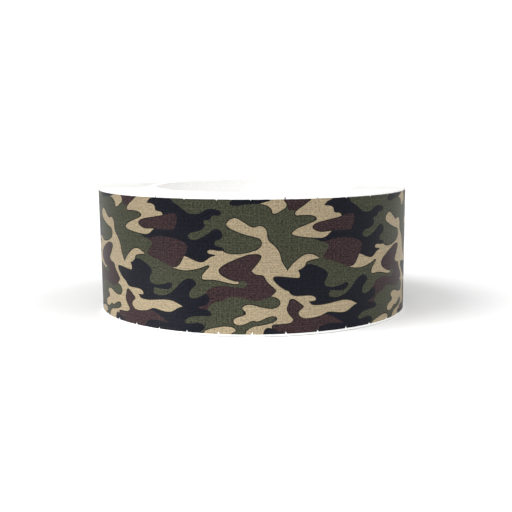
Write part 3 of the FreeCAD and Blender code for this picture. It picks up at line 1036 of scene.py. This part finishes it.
def leaned(piece):
    """Sets the tape a little askew on the roll's left side: the top stands out and the bottom in."""
    mesh = piece.data
    places = np.empty(len(mesh.vertices) * 3, dtype=np.float32)
    mesh.vertices.foreach_get("co", places)
    places = places.reshape(-1, 3)
    leftward = eased(np.clip((places[:, 0] - LEAN_FROM) / (LEAN_FULL - LEAN_FROM), 0, 1))
    radius = np.hypot(places[:, 0], places[:, 1])
    outward = eased(np.clip((radius - LEAN_INNER) / (LEAN_OUTER - LEAN_INNER), 0, 1))
    half = WIDTH * MM / 2
    places[:, 0] -= LEAN * leftward * outward * (places[:, 2] - half) / half
    mesh.vertices.foreach_set("co", places.ravel())
    mesh.update()


flat, faces, inks, split = film_layout()
SCRIM_TOP = ADHESIVE + SCRIM
SCRIM_CORNER = 0.02
ADHESIVE_CORNER = 0.035

outer_film = film_piece("printed_film_outer_turn", flat, faces, inks, lambda along: along < split)
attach(outer_film, "roll")
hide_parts("outer_turn_film")

free_film = film_piece("printed_film_free_end", flat, faces, inks, lambda along: along > split)
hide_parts("free_end_film")

outer_scrim = swept_layer("scrim_outer_turn", ADHESIVE, SCRIM_TOP, SCRIM_CORNER, OUTER_START, SPLIT,
                          scrim_cloth)
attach(outer_scrim, "roll")
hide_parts("outer_turn_scrim")

free_scrim = swept_layer("scrim_free_end", ADHESIVE, SCRIM_TOP, SCRIM_CORNER, SPLIT, FREE_TIP,
                         scrim_cloth)
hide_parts("free_end_scrim")

outer_adhesive = swept_layer("adhesive_outer_turn", 0.0, ADHESIVE, ADHESIVE_CORNER, OUTER_START, SPLIT,
                             tape_adhesive)
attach(outer_adhesive, "roll")
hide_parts("outer_turn_adhesive")

free_adhesive = swept_layer("adhesive_free_end", 0.0, ADHESIVE, ADHESIVE_CORNER, SPLIT, FREE_TIP,
                            tape_adhesive)
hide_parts("free_end_adhesive")

# The free end already turns smoothly from where it leaves the roll; here its pieces only get their
# placement baked into their points.
for piece in (free_film, free_scrim, free_adhesive):
    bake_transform(piece)

turns = wound_turns()
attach(turns, "roll")
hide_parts("wound_turns")

for piece in (outer_film, outer_scrim, outer_adhesive, turns):
    leaned(piece)

threads = thread_ends()
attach(threads, "free_end")

strip = liner()
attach(strip, "roll")
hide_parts("core_inner_liner")

# The other core pieces keep their CAD shape and get a paper material each.
PLY_TONES = {
    "core_ply_1": (0.86, 0.845, 0.80),
    "core_ply_2": (0.88, 0.87, 0.83),
    "core_ply_3": (0.85, 0.835, 0.79),
    "core_ply_4": (0.88, 0.87, 0.83),
    "core_outer_wrap": (0.90, 0.89, 0.86),
}
for number, (name, tone) in enumerate(PLY_TONES.items()):
    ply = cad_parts[name]
    paper = paper_material("paper_" + name, tone, 60.0 + 7 * number)
    for material_slot in ply.material_slots:
        material_slot.material = paper

# ---------------- floor, light and camera
FLOOR_HALF = 3.0
FLOOR_DROP = 0.0002
FLOOR_CELLS = 6
SURROUNDINGS = 0.36
BACKDROP = 1.1
CAMERA_PLACE = (0.001408, -0.377700, 0.073200)
CAMERA_DOWN = 0.14132
CAMERA_ROLL = -0.00208
CAMERA_LENS = 66.333
CAMERA_SENSOR = 36.0


def floor():
    """A plain pale floor just under the roll."""
    mesh = bpy.data.meshes.new("floor")
    width = FLOOR_CELLS + 1
    points = [(FLOOR_HALF * (2 * column / FLOOR_CELLS - 1), FLOOR_HALF * (2 * row / FLOOR_CELLS - 1),
               -FLOOR_DROP) for row in range(width) for column in range(width)]
    quads = [(r * width + c, r * width + c + 1, (r + 1) * width + c + 1, (r + 1) * width + c)
             for r in range(FLOOR_CELLS) for c in range(FLOOR_CELLS)]
    mesh.from_pydata(points, [], quads)
    piece = placed("floor", mesh)
    material, tree, shader = new_material("floor_white", 0.9, 0.2)
    place = tree.nodes.new("ShaderNodeTexCoord")
    tone = noise_field(tree, place.outputs["Object"], 3.0, 2.0)
    pale = mixed(tree, tone, (0.855, 0.855, 0.855), (0.875, 0.875, 0.875))
    tree.links.new(pale, shader.inputs["Base Color"])
    mesh.materials.append(material)


def soft_sun(name, around, above, spread, power):
    """A broad studio lamp far off: degrees around from the front, degrees above the floor."""
    lamp = bpy.data.lights.new(name, "SUN")
    lamp.angle = math.radians(spread)
    lamp.energy = power
    turn = math.radians(around)
    rise = math.radians(above)
    source = Vector((math.sin(turn) * math.cos(rise), -math.cos(turn) * math.cos(rise), math.sin(rise)))
    placed(name, lamp).rotation_euler = (-source).to_track_quat("-Z", "Y").to_euler()


def low_lamp(name, place, target, cone, power):
    """A small soft lamp that stands low beside the roll and lightens the bottom of it."""
    lamp = bpy.data.lights.new(name, "SPOT")
    lamp.spot_size = math.radians(cone)
    lamp.spot_blend = 1.0
    lamp.shadow_soft_size = 0.03
    lamp.energy = power
    piece = placed(name, lamp)
    piece.location = place
    piece.rotation_euler = (Vector(target) - Vector(place)).to_track_quat("-Z", "Y").to_euler()


def surroundings():
    """The surroundings look white, but light the roll less than the lamps do."""
    world = bpy.data.worlds.new("studio")
    world.use_nodes = True
    sky = world.node_tree.nodes["Background"]
    sky.inputs["Color"].default_value = (1.0, 1.0, 1.0, 1.0)
    seen = world.node_tree.nodes.new("ShaderNodeLightPath")
    level = world.node_tree.nodes.new("ShaderNodeMapRange")
    level.inputs["To Min"].default_value = SURROUNDINGS
    level.inputs["To Max"].default_value = BACKDROP
    world.node_tree.links.new(seen.outputs["Is Camera Ray"], level.inputs["Value"])
    world.node_tree.links.new(level.outputs["Result"], sky.inputs["Strength"])
    bpy.context.scene.world = world


floor()
soft_sun("left_lamp", -66, 42, 42, 2.5)
soft_sun("right_lamp", 68, 42, 45, 1.2)
soft_sun("front_lamp", 0, 50, 50, 1.0)
low_lamp("low_left_lamp", (-0.38, -0.2, 0.03), (-0.036, -0.048, -0.02), 14, 4.4)
low_lamp("low_front_lamp", (-0.01, -0.42, 0.03), (-0.006, -0.06, -0.02), 17, 1.2)
low_lamp("low_right_lamp", (0.27, -0.33, 0.03), (0.04, -0.045, -0.02), 15, 1.0)
surroundings()
bpy.context.scene.view_settings.view_transform = "Standard"
bpy.context.scene.view_settings.look = "None"

# The camera looks along +Y and a little down.
lens = bpy.data.cameras.new("camera")
lens.lens = CAMERA_LENS
lens.sensor_width = CAMERA_SENSOR
lens.clip_start = 0.01
camera = placed("camera", lens)
camera.location = CAMERA_PLACE
look = Vector((0.0, math.cos(CAMERA_DOWN), -math.sin(CAMERA_DOWN)))
turned = look.to_track_quat("-Z", "Y").to_matrix()
camera.rotation_euler = (turned @ turned.Rotation(CAMERA_ROLL, 3, "Z")).to_euler()
bpy.context.scene.camera = camera
